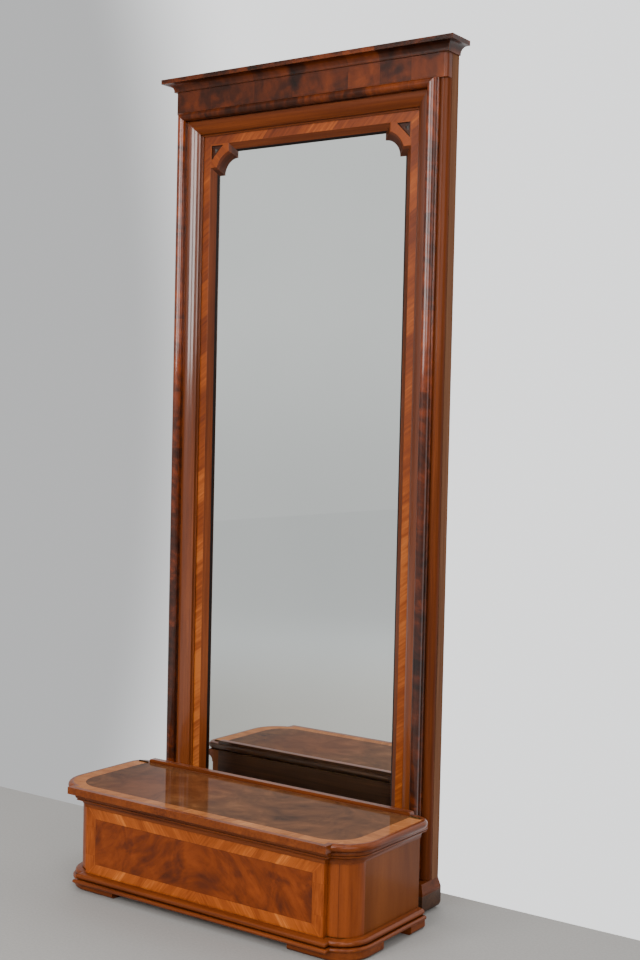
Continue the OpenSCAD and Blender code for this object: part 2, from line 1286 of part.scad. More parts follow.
// A hinge leaf: way is 1 for the rail's leaf and -1 for the lid's
module leaf_plate(way, extra)
{
    near = leaf_gap / 2;
    far = near + leaf_t;
    translate([0, way * (near + far) / 2, -hinge_l / 2 - extra])
        linear_extrude(hinge_l + 2 * extra)
            translate([0, -leaf_t / 2])
                square([leaf_h, leaf_t]);
}

// Recesses for the knuckles and for the leaves on one side
module hinge_cuts(way)
{
    hinge_spots() {
        hinge_bar(knuckle_r + knuckle_room, groove_l);
        leaf_plate(way, knuckle_gap);
    }
}

// Section of the rail from a given depth inside out to its rounded edge
module rail_section(inside)
{
    end_r = rail_t / 2;
    translate([-inside, body_top])
        square([inside - end_r, rail_t]);
    translate([-end_r, body_top + end_r])
        circle(end_r);
}

module rear_rail()
{
    color(mahogany)
        chest_place()
            difference() {
                union() {
                    translate([-rear_arc_x, 0, 0])
                        mirror([0, 1, 0])
                            run_x(2 * rear_arc_x)
                                rail_section(rail_d);
                    for (side = [0, 1])
                        mirror([side, 0, 0])
                            intersection() {
                                rear_end()
                                    rail_section(rear_corner_r);
                                box([rear_arc_x, -rail_d, body_top - 1],
                                    [lid_half + 1, 1, lid_top + 1]);
                            }
                }
                hinge_cuts(1);
            }
}

module rear_strip()
{
    color(mahogany)
        chest_place()
            translate([0, -strip_in, lid_top])
                run_y(strip_d)
                    intersection() {
                        translate([-strip_half, 0])
                            square([2 * strip_half, strip_h]);
                        union() {
                            translate([-strip_half, 0])
                                square([2 * strip_half, strip_h - strip_r]);
                            translate([strip_r - strip_half, 0])
                                square([2 * (strip_half - strip_r), strip_h]);
                            for (side = [-1, 1])
                                translate([side * (strip_half - strip_r), strip_h - strip_r])
                                    circle(strip_r);
                        }
                    }
}

module lid_board()
{
    radius = lid_corner_r - edging_w;
    mid_half = lid_half - lid_corner_r;
    color("#73492f")
        chest_place()
            difference() {
                translate([0, 0, lid_low])
                    linear_extrude(lid_t) {
                        translate([edging_w - lid_half, lid_arc_y])
                            square([2 * (lid_half - edging_w), -rear_corner_r - lid_arc_y]);
                        translate([-rear_arc_x, -rear_corner_r - eps])
                            square([2 * rear_arc_x, lid_rear_y + rear_corner_r + eps]);
                        intersection() {
                            for (side = [-1, 1])
                                translate([side * rear_arc_x, -rear_corner_r])
                                    circle(rear_corner_r - edging_w, $fn = 96);
                            translate([-lid_half, -2 * rear_corner_r])
                                square([2 * lid_half, lid_rear_y + 2 * rear_corner_r]);
                        }
                        translate([-mid_half, lid_arc_y - radius])
                            square([2 * mid_half, radius + eps]);
                        translate([edging_w - lid_step_half, lid_front_y + edging_w])
                            square([2 * (lid_step_half - edging_w),
                                lid_arc_y - lid_front_y - edging_w + eps]);
                        for (side = [-1, 1])
                            translate([side * mid_half, lid_arc_y])
                                circle(radius, $fn = 96);
                    }
                hinge_cuts(-1);
            }
}

module lid_edging()
{
    high = lid_low + lid_t;
    keep_half = lid_step_half - edging_w;
    color(mahogany)
        chest_place()
            union() {
                difference() {
                    for (side = [0, 1])
                        mirror([side, 0, 0]) {
                            edge_end(lid_half, lid_corner_r, lid_arc_y, -rear_corner_r)
                                lid_edge_section();
                            intersection() {
                                rear_end()
                                    lid_edge_section();
                                box([rear_arc_x, -rear_corner_r, lid_low - 1],
                                    [lid_half + 1, lid_rear_y, high + 1]);
                            }
                        }
                    box([-keep_half, lid_front_y, lid_low - 1], [keep_half, lid_rear_y, high + 1]);
                    hinge_cuts(-1);
                }
                difference() {
                    edge_front(lid_step_half, lid_front_y, lid_arc_y, lid_low, high, edging_w)
                        lid_edge_section();
                    difference() {
                        corner_fill(lid_half - lid_corner_r, lid_arc_y, lid_corner_r - edging_w,
                            lid_low - 1, high + 1);
                        box([-keep_half, lid_front_y, lid_low - 2],
                            [keep_half, lid_rear_y, high + 2]);
                    }
                }
            }
}

module hinge_rail_leaves()
{
    outer_l = (hinge_l - knuckle_l) / 2;
    color(brass)
        chest_place()
            hinge_spots()
                difference() {
                    union() {
                        hinge_bar(knuckle_r, hinge_l);
                        leaf_plate(1, 0);
                    }
                    hinge_bar(pin_r + pin_clear, hinge_l + 1);
                    hinge_bar(knuckle_r + knuckle_room, hinge_l - 2 * outer_l + 2 * knuckle_gap);
                }
}

module hinge_lid_leaves()
{
    color(brass)
        chest_place()
            hinge_spots()
                difference() {
                    union() {
                        hinge_bar(knuckle_r, knuckle_l);
                        difference() {
                            leaf_plate(-1, 0);
                            hinge_bar(knuckle_r + knuckle_room, hinge_l + 1);
                        }
                        intersection() {
                            leaf_plate(-1, 0);
                            hinge_bar(knuckle_r + 1, knuckle_l);
                        }
                    }
                    hinge_bar(pin_r + pin_clear, hinge_l + 1);
                }
}

module hinge_pins()
{
    color(brass)
        chest_place()
            hinge_spots()
                hinge_bar(pin_r, hinge_l);
}

left_stile();
right_stile();
top_rail();
bottom_rail();
left_side_board();
right_side_board();
left_outer_round();
right_outer_round();
left_torus();
right_torus();
top_torus();
left_ovolo();
right_ovolo();
top_ovolo();
left_crossband();
right_crossband();
top_crossband();
bottom_facing();
left_slip();
right_slip();
top_slip();
bottom_slip();
left_bracket();
right_bracket();
bracket_ornaments();
frieze();
crown_core();
crown_front();
crown_left();
crown_right();
left_foot();
right_foot();
foot_caps();
mirror_glass();
glass_blocks();
back_boards();
chest_bottom();
chest_back();
chest_left_side();
chest_right_side();
chest_front();
front_panel();
left_corner_post();
right_corner_post();
cornice_front();
cornice_left();
cornice_right();
base_front();
base_left();
base_right();
chest_front_feet();
chest_rear_feet();
rear_rail();
rear_strip();
lid_board();
lid_edging();
hinge_rail_leaves();
hinge_lid_leaves();
hinge_pins();
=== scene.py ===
import math

import bpy
from mathutils import Matrix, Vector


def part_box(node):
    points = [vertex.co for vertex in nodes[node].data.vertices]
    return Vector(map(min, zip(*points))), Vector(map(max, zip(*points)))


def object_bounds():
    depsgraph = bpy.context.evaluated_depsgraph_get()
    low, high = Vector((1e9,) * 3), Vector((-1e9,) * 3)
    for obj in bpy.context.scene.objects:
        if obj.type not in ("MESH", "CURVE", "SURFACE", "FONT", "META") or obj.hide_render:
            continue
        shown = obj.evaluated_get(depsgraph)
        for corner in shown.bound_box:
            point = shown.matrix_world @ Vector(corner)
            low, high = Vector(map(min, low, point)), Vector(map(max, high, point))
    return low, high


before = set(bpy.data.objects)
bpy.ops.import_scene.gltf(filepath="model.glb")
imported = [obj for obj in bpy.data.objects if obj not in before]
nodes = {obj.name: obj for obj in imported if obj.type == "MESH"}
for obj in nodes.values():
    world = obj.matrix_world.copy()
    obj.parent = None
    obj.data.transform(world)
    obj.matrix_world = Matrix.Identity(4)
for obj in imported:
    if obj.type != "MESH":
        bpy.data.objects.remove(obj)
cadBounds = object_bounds()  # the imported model's own box
bpy.ops.object.select_all(action="DESELECT")
print("frame loaded:", len(nodes), "CAD nodes")


# Colours are written as 0 to 255, the way a paint program shows them
def tint(red, green, blue):
    linear = []
    for value in (red, green, blue):
        part = value / 255
        linear.append(part / 12.92 if part <= 0.04045 else ((part + 0.055) / 1.055) ** 2.4)
    return (linear[0], linear[1], linear[2], 1.0)


def low(node):
    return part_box(node)[0]


def high(node):
    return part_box(node)[1]


def middle(node):
    return [(a + b) / 2 for a, b in zip(*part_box(node))]


# Adds a shader node. Inputs go by their label, or as i and their number: a socket is linked to
# its input, and anything else becomes the input's value
def add(tree, kind, settings=None, **inputs):
    made = tree.nodes.new(kind)
    for name, value in (settings or {}).items():
        setattr(made, name, value)
    for name, value in inputs.items():
        numbered = name[0] == "i" and name[1:].isdigit()
        socket = made.inputs[int(name[1:])] if numbered else made.inputs[name]
        if isinstance(value, bpy.types.NodeSocket):
            tree.links.new(value, socket)
        else:
            socket.default_value = value
    return made


def maths(tree, operation, first, second=0.0, third=0.0):
    made = add(tree, "ShaderNodeMath", {"operation": operation}, i0=first, i1=second, i2=third)
    return made.outputs[0]


def vectorMaths(tree, operation, first, second=(0, 0, 0), third=(0, 0, 0)):
    made = add(tree, "ShaderNodeVectorMath", {"operation": operation}, i0=first, i1=second, i2=third)
    return made.outputs["Value" if operation in ("LENGTH", "DISTANCE", "DOT_PRODUCT") else "Vector"]


# 0 below the first value and 1 above the second, smooth between
def fade(tree, value, start, end):
    made = add(tree, "ShaderNodeMapRange", {"interpolation_type": "SMOOTHSTEP"},
               i0=value, i1=start, i2=end, i3=0.0, i4=1.0)
    return made.outputs[0]


# Maps a value evenly from one span onto another
def stretched(tree, value, span, onto):
    made = add(tree, "ShaderNodeMapRange", i0=value, i1=span[0], i2=span[1], i3=onto[0], i4=onto[1])
    return made.outputs[0]


def mixColour(tree, share, first, second, blend="MIX"):
    made = add(tree, "ShaderNodeMix", {"data_type": "RGBA", "blend_type": blend},
               i0=share, i6=first, i7=second)
    return made.outputs[2]


def ramp(tree, value, stops):
    made = add(tree, "ShaderNodeValToRGB", Fac=value)
    band = made.color_ramp
    while len(band.elements) < len(stops):
        band.elements.new(0.5)
    for element, (position, colour) in zip(band.elements, stops):
        element.position = position
        element.color = colour
    return made.outputs[0]


def tonesOf(stops):
    return [(position, tint(*colour)) for position, colour in stops]


def place(tree, vector, centre=(0, 0, 0), turn=(0, 0, 0), size=(1, 1, 1)):
    made = add(tree, "ShaderNodeMapping", {"vector_type": "TEXTURE"}, Vector=vector,
               Location=centre, Rotation=[math.radians(a) for a in turn], Scale=size)
    return made.outputs[0]


def noise(tree, vector, scale=1.0, detail=3.0, rough=0.5, distortion=0.0, output="Fac"):
    made = add(tree, "ShaderNodeTexNoise", {"noise_dimensions": "3D"}, Vector=vector, Scale=scale,
               Detail=detail, Roughness=rough, Distortion=distortion)
    return made.outputs[output]


def objectCoords(tree):
    return tree.nodes.new("ShaderNodeTexCoord").outputs["Object"]


def split(tree, vector):
    return add(tree, "ShaderNodeSeparateXYZ", i0=vector).outputs[:3]


def joined(tree, x, y, z):
    return add(tree, "ShaderNodeCombineXYZ", i0=x, i1=y, i2=z).outputs[0]


# Distances from a centre line, the same on both sides, as veneers cut in matching pairs
def folded(tree, where, centre, sides):
    values = list(split(tree, vectorMaths(tree, "SUBTRACT", where, centre)))
    for axis in sides:
        values[axis] = maths(tree, "ABSOLUTE", values[axis])
    return values


# Stirs a place about with soft noise, so that whatever is drawn there comes out ragged
def stirred(tree, where, scale, detail, reach):
    drift = noise(tree, where, scale=scale, detail=detail, output="Color")
    centred = vectorMaths(tree, "SUBTRACT", drift, (0.5, 0.5, 0.5))
    return vectorMaths(tree, "MULTIPLY_ADD", centred, (reach, reach, reach), where)


def newMaterial(name):
    made = bpy.data.materials.new(name)
    made.use_nodes = True
    made.node_tree.nodes.clear()
    tree = made.node_tree
    shader = tree.nodes.new("ShaderNodeBsdfPrincipled")
    output = tree.nodes.new("ShaderNodeOutputMaterial")
    tree.links.new(shader.outputs[0], output.inputs[0])
    return made, tree, shader


# French polish: a gloss coat over slightly open grain, dirt and painted shade in the corners, wear on the
# edges
polishing = {
    "dirtAndShadeTint": (20, 9, 4), "dirtAndShadeSpan": (0.15, 0.75), "wearSpan": (0.985, 0.93),
    "grainSpan": (0.2, 0.8), "grainDuller": 0.06, "grainGlossier": 0.04, "grainDepth": 0.0005,
    "coatIor": 1.5,
}


def polish(tree, shader, colour, pores, finish):
    # Dirt and painted shade: the colour darkens where occlusion finds corners and crevices
    hollow = add(tree, "ShaderNodeAmbientOcclusion", {"samples": 6, "only_local": False},
                 Distance=finish["dirtAndShadeReach"])
    openness = fade(tree, hollow.outputs["AO"], *polishing["dirtAndShadeSpan"])
    cleanAndUnshaded = maths(tree, "MULTIPLY_ADD", openness, finish["dirtAndShade"], 1 - finish["dirtAndShade"])
    colour = mixColour(tree, cleanAndUnshaded, tint(*polishing["dirtAndShadeTint"]), colour)
    rounded = add(tree, "ShaderNodeBevel", {"samples": 4}, Radius=finish["edge"]).outputs[0]
    trueNormal = tree.nodes.new("ShaderNodeNewGeometry").outputs["True Normal"]
    edge = fade(tree, vectorMaths(tree, "DOT_PRODUCT", rounded, trueNormal), *polishing["wearSpan"])
    rubbed = maths(tree, "MULTIPLY", edge, finish["wear"])
    colour = mixColour(tree, rubbed, colour, tint(*finish["wearTint"]))
    tree.links.new(colour, shader.inputs["Base Color"])
    dull = stretched(tree, pores, polishing["grainSpan"], (
        finish["rough"] + polishing["grainDuller"], finish["rough"] - polishing["grainGlossier"]))
    tree.links.new(dull, shader.inputs["Roughness"])
    shader.inputs["Coat Weight"].default_value = finish["coat"]
    shader.inputs["Coat Roughness"].default_value = finish["coatRough"]
    shader.inputs["Coat IOR"].default_value = polishing["coatIor"]
    shader.inputs["Specular IOR Level"].default_value = finish["sheen"]
    bump = add(tree, "ShaderNodeBump", Height=pores, Strength=finish["bump"],
               Distance=polishing["grainDepth"], Normal=rounded)
    tree.links.new(bump.outputs[0], shader.inputs["Normal"])
    tree.links.new(rounded, shader.inputs["Coat Normal"])


# Veneers lie in leaves, and no two leaves are of quite the same width
leafing = {"uneven": 0.8, "jointWidth": 0.0009, "toneStep": 0.0004, "chosenJoint": (0.0011, 0.0003)}


# Leaves laid side by side: two chance values for each leaf, and the joint between them
def leaves(tree, along, size):
    steps = maths(tree, "DIVIDE", along, size)
    cells = add(tree, "ShaderNodeTexVoronoi", {"voronoi_dimensions": "1D", "feature": "F1"},
                W=steps, Scale=1.0, Randomness=leafing["uneven"])
    edges = add(tree, "ShaderNodeTexVoronoi", {"voronoi_dimensions": "1D", "feature": "DISTANCE_TO_EDGE"},
                W=steps, Scale=1.0, Randomness=leafing["uneven"])
    chance = add(tree, "ShaderNodeSeparateColor", i0=cells.outputs["Color"])
    joint = fade(tree, edges.outputs["Distance"], leafing["jointWidth"] / size, 0.0)
    return chance.outputs[0], chance.outputs[1], joint


# Leaves with their joints at chosen places along X: each joint changes the tone from there on
def chosenLeaves(tree, along, joints):
    tone, lines = 0.0, 0.0
    soft = leafing["toneStep"]
    for at, change in joints:
        tone = maths(tree, "MULTIPLY_ADD", fade(tree, along, at - soft, at + soft), change, tone)
        off = maths(tree, "ABSOLUTE", maths(tree, "SUBTRACT", along, at))
        lines = maths(tree, "MAXIMUM", lines, fade(tree, off, *leafing["chosenJoint"]))
    return tone, lines


# A soft dark flame in the wood, oval and ragged, deepest at its middle
def darkFlame(tree, where, spot):
    bent = stirred(tree, where, spot.get("raggedScale", 26.0), 4.0, spot.get("ragged", 0.05))
    inside = place(tree, bent, spot["at"], spot["turn"], spot["size"])
    away = vectorMaths(tree, "LENGTH", inside)
    return maths(tree, "MULTIPLY", fade(tree, away, 1.0, 0.25), spot["depth"])


# The wood recipe for every piece: streaks along the grain, broad figure, pores and leaves
def woodPattern(tree, where, look, flamesAt=None):
    vector = stirred(tree, where, look["driftScale"], 2.0, look["drift"])
    shift, joint = look["lift"], None
    if "leaf" in look:
        along = split(tree, place(tree, where, turn=look["leafTurn"]))[0]
        first, second, joint = leaves(tree, along, look["leaf"])
        vector = vectorMaths(tree, "ADD", vector, joined(tree, first, second, first))
        shift = maths(tree, "MULTIPLY_ADD", first, look["leafTone"], look["lift"] - look["leafTone"] / 2)
    if "joints" in look:
        tone, joint = chosenLeaves(tree, split(tree, where)[0], look["joints"])
        jump = joined(tree, tone, maths(tree, "MULTIPLY", tone, 3.0), tone)
        vector = vectorMaths(tree, "ADD", vector, jump)
        shift = maths(tree, "ADD", tone, shift)
    turn = look["turn"]
    streak = noise(tree, place(tree, vector, turn=turn, size=look["size"]), detail=4.0, rough=0.6)
    figure = noise(tree, place(tree, vector, turn=turn, size=look["broad"]), rough=0.55,
                   distortion=look["swirl"])
    pores = noise(tree, place(tree, vector, turn=turn, size=look["pores"]), detail=2.0, rough=0.7)
    share = look["streakShare"]
    mixed = maths(tree, "MULTIPLY_ADD", streak, share, maths(tree, "MULTIPLY", figure, 1 - share))
    mixed = maths(tree, "ADD", mixed, shift)
    for spot in look.get("flames", []):
        mixed = maths(tree, "SUBTRACT", mixed, darkFlame(tree, flamesAt or where, spot))
    colour = ramp(tree, mixed, tonesOf(look["tones"]))
    speck = maths(tree, "MULTIPLY", fade(tree, pores, *look["poreSpan"]), look["poreShare"])
    colour = mixColour(tree, speck, colour, tint(*look["poreTint"]))
    if joint is not None:
        seam = maths(tree, "MULTIPLY", joint, look["jointShare"])
        colour = mixColour(tree, seam, colour, tint(*look["poreTint"]))
    return colour, pores


def wood(name, look, finish):
    made, tree, shader = newMaterial(name)
    colour, pores = woodPattern(tree, objectCoords(tree), look)
    polish(tree, shader, colour, pores, finish)
    return made


# Two woods on one piece: the share says where the inner one shows
def twoWoods(name, outerLook, innerLook, innerShare, finish):
    made, tree, shader = newMaterial(name)
    where = objectCoords(tree)
    outer, pores = woodPattern(tree, where, outerLook)
    inner = woodPattern(tree, where, innerLook)[0]
    polish(tree, shader, mixColour(tree, innerShare(tree, where), outer, inner), pores, finish)
    return made


def dress(material, *names):
    for name in names:
        slots = nodes[name].data.materials
        slots.clear()
        slots.append(material)


# Tones of each wood from its darkest figure to its lightest
tones = {
    "moulding": [(0.26, (60, 23, 8)), (0.44, (98, 45, 16)), (0.60, (116, 56, 21)), (0.78, (138, 72, 30))],
    "frame": [(0.26, (47, 18, 7)), (0.44, (77, 34, 12)), (0.60, (93, 43, 16)), (0.78, (114, 56, 23))],
    "crown": [(0.26, (24, 12, 7)), (0.42, (50, 21, 8)), (0.56, (78, 32, 9)), (0.76, (106, 47, 14))],
    "panel": [(0.26, (44, 18, 6)), (0.42, (74, 30, 8)), (0.56, (101, 42, 10)), (0.76, (130, 58, 15))],
    "flame": [(0.26, (26, 10, 5)), (0.42, (62, 24, 7)), (0.56, (102, 40, 9)), (0.76, (136, 58, 14))],
    "banding": [(0.26, (78, 30, 8)), (0.44, (102, 44, 12)), (0.60, (124, 57, 16)), (0.78, (160, 86, 32))],
    "border": [(0.26, (108, 46, 10)), (0.44, (138, 65, 17)), (0.60, (158, 79, 24)), (0.78, (190, 107, 44))],
    "side": [(0.28, (78, 47, 29)), (0.46, (101, 65, 43)), (0.62, (115, 77, 53)), (0.80, (133, 93, 68))],
    "chest": [(0.28, (84, 36, 10)), (0.46, (118, 54, 16)), (0.62, (138, 66, 21)), (0.80, (162, 84, 32))],
    "flank": [(0.26, (78, 38, 15)), (0.44, (104, 54, 22)), (0.60, (120, 65, 28)), (0.78, (142, 82, 40))],
    "burr": [(0.24, (50, 31, 20)), (0.42, (76, 47, 29)), (0.58, (96, 60, 36)), (0.78, (124, 82, 50))],
    "lidBand": [(0.26, (120, 70, 36)), (0.44, (144, 88, 50)), (0.6, (162, 104, 62)), (0.78, (190, 134, 88))],
    "pine": [(0.28, (120, 84, 46)), (0.48, (152, 112, 66)), (0.66, (170, 130, 80)), (0.84, (190, 152, 100))],
    "stained": [(0.28, (30, 18, 11)), (0.46, (58, 36, 23)), (0.62, (74, 47, 30)), (0.80, (92, 60, 40))],
}
gloss = {"rough": 0.36, "coat": 0.55, "coatRough": 0.07, "bump": 0.10, "edge": 0.0008,
         "dirtAndShade": 0.75, "dirtAndShadeReach": 0.012, "wear": 0.30, "wearTint": (170, 96, 46), "sheen": 0.12}
flat = dict(gloss, coat=0.20, coatRough=0.12)  # flat veneers, less often polished again
worn = dict(gloss, coat=0.28, coatRough=0.14, sheen=0.05)  # mouldings dulled by handling
satin = dict(gloss, rough=0.48, coat=0.12, coatRough=0.3, bump=0.2)
bare = dict(satin, rough=0.75, coat=0.0, bump=0.4, dirtAndShade=0.5, wear=0.15, wearTint=(196, 164, 112))

# The grain's X axis lies along the piece; these turns bring it to the piece's own direction
alongX = (0, 0, 0)
alongY = (0, 0, 90)
alongZ = (0, 90, 0)


def grain(toneName, turn, length=0.32, width=0.006, **changes):
    look = {
        "tones": tones[toneName], "turn": turn, "size": (length, width, width),
        "broad": (length * 2.2, width * 7, width * 7), "pores": (0.012, 0.0007, 0.0007),
        "streakShare": 0.5, "poreShare": 0.4, "poreSpan": (0.56, 0.74), "poreTint": (30, 13, 6),
        "lift": 0.0, "swirl": 0.4, "jointShare": 0.6, "driftScale": 3.0, "drift": 0.012,
    }
    look.update(changes)
    return look


# Painted light: the frame's inner uprights are paler and more golden towards the floor
paintedLightFoot = {"at": (0, 0, 0.35), "size": (1.2, 1.2, 1.05), "turn": (0, 0, 0), "depth": -0.20}
dress(wood("polished mahogany upright", grain("frame", alongZ, lift=0.02, flames=[paintedLightFoot]),
           dict(gloss, coat=0.85, coatRough=0.13)), "left_ovolo", "right_ovolo")
dress(wood("outer mahogany upright", grain("frame", alongZ, lift=0.03), dict(worn, coat=0.07)),
      "left_outer_round", "right_outer_round")
dress(wood("polished mahogany level", grain("frame", alongX), dict(worn, coat=0.1)),
      "top_ovolo", "foot_caps")
dress(wood("chest mahogany level", grain("moulding", alongX), worn),
      "cornice_front", "base_front", "chest_front_feet")
dress(wood("chest mahogany deep", grain("moulding", alongY), worn),
      "cornice_left", "cornice_right", "base_left", "base_right", "chest_rear_feet", "lid_edging")

# The slips run down to the glass and end in a black edge: a blackened edge together with the painted shade
# of the rebate
slip = {"blackDepth": 0.005, "blackSoft": 0.0003, "black": (12, 7, 5), "lift": -0.06}


def slipWood(name, turn):
    made, tree, shader = newMaterial(name)
    where = objectCoords(tree)
    colour, pores = woodPattern(tree, where, grain("frame", turn, lift=slip["lift"], flames=[paintedLightFoot]))
    # Painted shade of the rebate: the slip's last few millimetres by the glass turn black
    blackFrom = low("mirror_glass")[1] - slip["blackDepth"]
    edge = fade(tree, split(tree, where)[1], blackFrom - slip["blackSoft"], blackFrom)
    colour = mixColour(tree, edge, colour, tint(*slip["black"]))
    polish(tree, shader, colour, pores, worn)
    return made


dress(slipWood("slip upright", alongZ), "left_slip", "right_slip")
dress(slipWood("slip level", alongX), "top_slip", "bottom_slip")

# Flame veneer: cross-grained leaves with dark figure that runs through crown and frieze, and a band of
# painted shade along the crown
crest = {
    "joints": [  # place from the middle, and the change of tone from there on
        (-0.315, -0.05), (-0.16, 0.05), (-0.035, -0.02), (0.144, 0.10), (0.243, -0.13), (0.335, 0.10)],
    "flames": [  # place from the middle and its height, half sizes, lean and depth
        (-0.285, 2.140, 0.060, 0.026, 0, 0.15), (-0.020, 2.142, 0.032, 0.045, 10, 0.20),
        (0.275, 2.140, 0.050, 0.060, 0, 0.08), (-0.420, 2.130, 0.030, 0.080, 0, 0.08),
        # the last spot, across the whole width, is painted shade: a dark band across the crown at this
        # height
        (0.400, 2.164, 0.130, 0.026, 0, 0.26), (0.0, 2.180, 1.2, 0.008, 0, 0.12)],
    "flameReach": 0.3,
}
crownMiddle = middle("frieze")[0]
friezeFace = low("frieze")[1]
crestFlamesAndShade = [{"at": (crownMiddle + x, friezeFace, z), "size": (wide, crest["flameReach"], tall),
                "turn": (0, lean, 0), "depth": depth} for x, z, wide, tall, lean, depth in crest["flames"]]
crestJoints = [(crownMiddle + x, change) for x, change in crest["joints"]]
dress(wood("crown flame veneer", grain(
    "crown", (0, 70, 0), length=0.05, width=0.024, swirl=1.8, drift=0.05, driftScale=7.0,
    streakShare=0.35, joints=crestJoints, flames=crestFlamesAndShade, lift=0.02), dict(flat, coat=0.1)),
      "frieze", "crown_front", "crown_left", "crown_right")
dress(wood("torus flame veneer level", grain(
    "crown", alongZ, length=0.05, width=0.014, leaf=0.10, leafTurn=alongX, leafTone=0.20,
    swirl=1.2, drift=0.03, driftScale=9.0, lift=0.01), worn), "top_torus")
torusShade = {"at": (0, 0, 0.75), "size": (1.2, 1.2, 0.85), "turn": (0, 0, 0), "depth": 0.13,
              "ragged": 0.5, "raggedScale": 8.0}
dress(wood("torus flame veneer upright", grain(
    "flame", (0, 25, 0), length=0.06, width=0.018, leaf=0.19, leafTurn=alongZ, leafTone=0.12,
    swirl=1.6, drift=0.04, driftScale=9.0, lift=0.02, flames=[torusShade]), dict(gloss, coat=0.7)),
      "left_torus", "right_torus")

# Crossbanding of the frame: leaves cut slantwise, rising to the right
banding = {"uprightTurn": -34, "levelTurn": -48, "leaf": 0.085, "leafTone": 0.24, "length": 0.10,
           "width": 0.006, "streakShare": 0.62, "jointTint": (88, 36, 10), "jointShare": 0.5}


def bandLook(turn, **changes):
    return grain("banding", (0, turn, 0), length=banding["length"], width=banding["width"],
                 leaf=banding["leaf"], leafTurn=(0, turn + 90, 0), leafTone=banding["leafTone"],
                 streakShare=banding["streakShare"], poreTint=banding["jointTint"],
                 jointShare=banding["jointShare"], **changes)


dress(wood("crossbanding upright", bandLook(banding["uprightTurn"], flames=[paintedLightFoot]), flat),
      "left_crossband", "right_crossband")
dress(wood("crossbanding level", bandLook(banding["levelTurn"]), flat), "top_crossband", "bottom_facing")

# Brackets: a banded face, with darker slopes and a sunk triangle behind it
bracket = {"grainTurn": 45, "faceLift": 0.03, "slopeLift": -0.10, "slopeFrom": (0.0002, 0.0006),
           "sunkFrom": (0.0042, 0.0050), "sunkShade": 0.55}


def bracketWood(name, side):
    made, tree, shader = newMaterial(name)
    where = objectCoords(tree)
    turn = bracket["grainTurn"] * side
    face, pores = woodPattern(tree, where, bandLook(turn, lift=bracket["faceLift"]))
    slope = woodPattern(tree, where, grain("frame", (0, -turn, 0), lift=bracket["slopeLift"]))[0]
    inward = maths(tree, "SUBTRACT", split(tree, where)[1], low("left_bracket")[1])
    colour = mixColour(tree, fade(tree, inward, *bracket["slopeFrom"]), face, slope)
    sunk = maths(tree, "MULTIPLY", fade(tree, inward, *bracket["sunkFrom"]), bracket["sunkShade"])
    colour = mixColour(tree, sunk, colour, tint(*slip["black"]))
    polish(tree, shader, colour, pores, flat)
    return made


dress(bracketWood("left bracket veneer", 1), "left_bracket")
dress(bracketWood("right bracket veneer", -1), "right_bracket")
dress(wood("side board", grain("side", alongZ), dict(satin, coat=0.0, sheen=0.02)),
      "left_side_board", "right_side_board")
print("mirror frame dressed")


# A thin dark line along the edge of an inlaid field
def inlayLine(tree, colour, distance, line):
    near = fade(tree, maths(tree, "ABSOLUTE", distance), line["width"], line["width"] * 0.4)
    return mixColour(tree, maths(tree, "MULTIPLY", near, line["share"]), colour, tint(*line["tint"]))


# Chest front: a field of feathered flame veneer in a border of slanting leaves
front = {
    "fieldHalfWidth": 0.342, "fieldHalfHeight": 0.0585, "fieldSoft": 0.0003, "mitreSoft": 0.0004,
    "line": {"width": 0.0007, "share": 0.55, "tint": (40, 16, 6)},
    "bow": 0.04, "bowSlope": 0.15, "borderTurn": -52, "borderLeaf": 0.024,
    "flames": [  # place from the middle and its height, half sizes, lean and depth
        (-0.135, 0.140, 0.110, 0.024, -34, 0.12), (-0.080, 0.116, 0.070, 0.034, -58, 0.15),
        (-0.215, 0.160, 0.080, 0.014, -28, 0.10), (-0.330, 0.130, 0.022, 0.070, 0, 0.08),
        (0.120, 0.148, 0.020, 0.014, 30, 0.10), (0.165, 0.158, 0.016, 0.010, 0, 0.10),
        (0.235, 0.164, 0.034, 0.012, 10, 0.12), (0.030, 0.110, 0.040, 0.070, 40, 0.08),
        (0.336, 0.130, 0.020, 0.090, 0, 0.10)],
}
chestMiddle = middle("chest_back")[0]
frontCentre = (chestMiddle, 0, (high("base_front")[2] + low("cornice_front")[2]) / 2)
frontFlames = [{"at": (chestMiddle + x, low("front_panel")[1], z), "size": (wide, 0.2, tall),
                "turn": (0, lean, 0), "depth": depth, "ragged": 0.035, "raggedScale": 40.0}
               for x, z, wide, tall, lean, depth in front["flames"]]


# Slanting leaves above and below the field, upright grain at its ends, mitred at the corners
def frontBorder(tree, where, paired, mitre):
    turn = front["borderTurn"]
    level = woodPattern(tree, paired, grain(
        "border", (0, turn, 0), length=0.08, width=0.007, leaf=front["borderLeaf"],
        leafTurn=(0, turn + 90, 0), leafTone=0.20, streakShare=0.7, poreTint=(104, 48, 14),
        jointShare=0.3))[0]
    ends = woodPattern(tree, where, grain(
        "border", alongZ, length=0.05, width=0.005, leaf=0.07, leafTurn=alongZ, leafTone=0.14,
        streakShare=0.6, poreTint=(110, 48, 12), lift=-0.03))[0]
    return mixColour(tree, mitre, level, ends)


# The field's figure bows about the chest's middle, as in a feather
def frontField(tree, where):
    axes = split(tree, where)
    side = maths(tree, "SUBTRACT", axes[0], chestMiddle)
    bow = maths(tree, "SQRT", maths(tree, "MULTIPLY_ADD", side, side, front["bow"] ** 2))
    feathered = joined(tree, bow, maths(tree, "MULTIPLY", side, front["bowSlope"]), axes[2])
    return woodPattern(tree, feathered, grain(
        "panel", (0, 40, 0), length=0.07, width=0.014, swirl=2.0, drift=0.07, driftScale=6.0,
        streakShare=0.35, flames=frontFlames, lift=0.12), where)


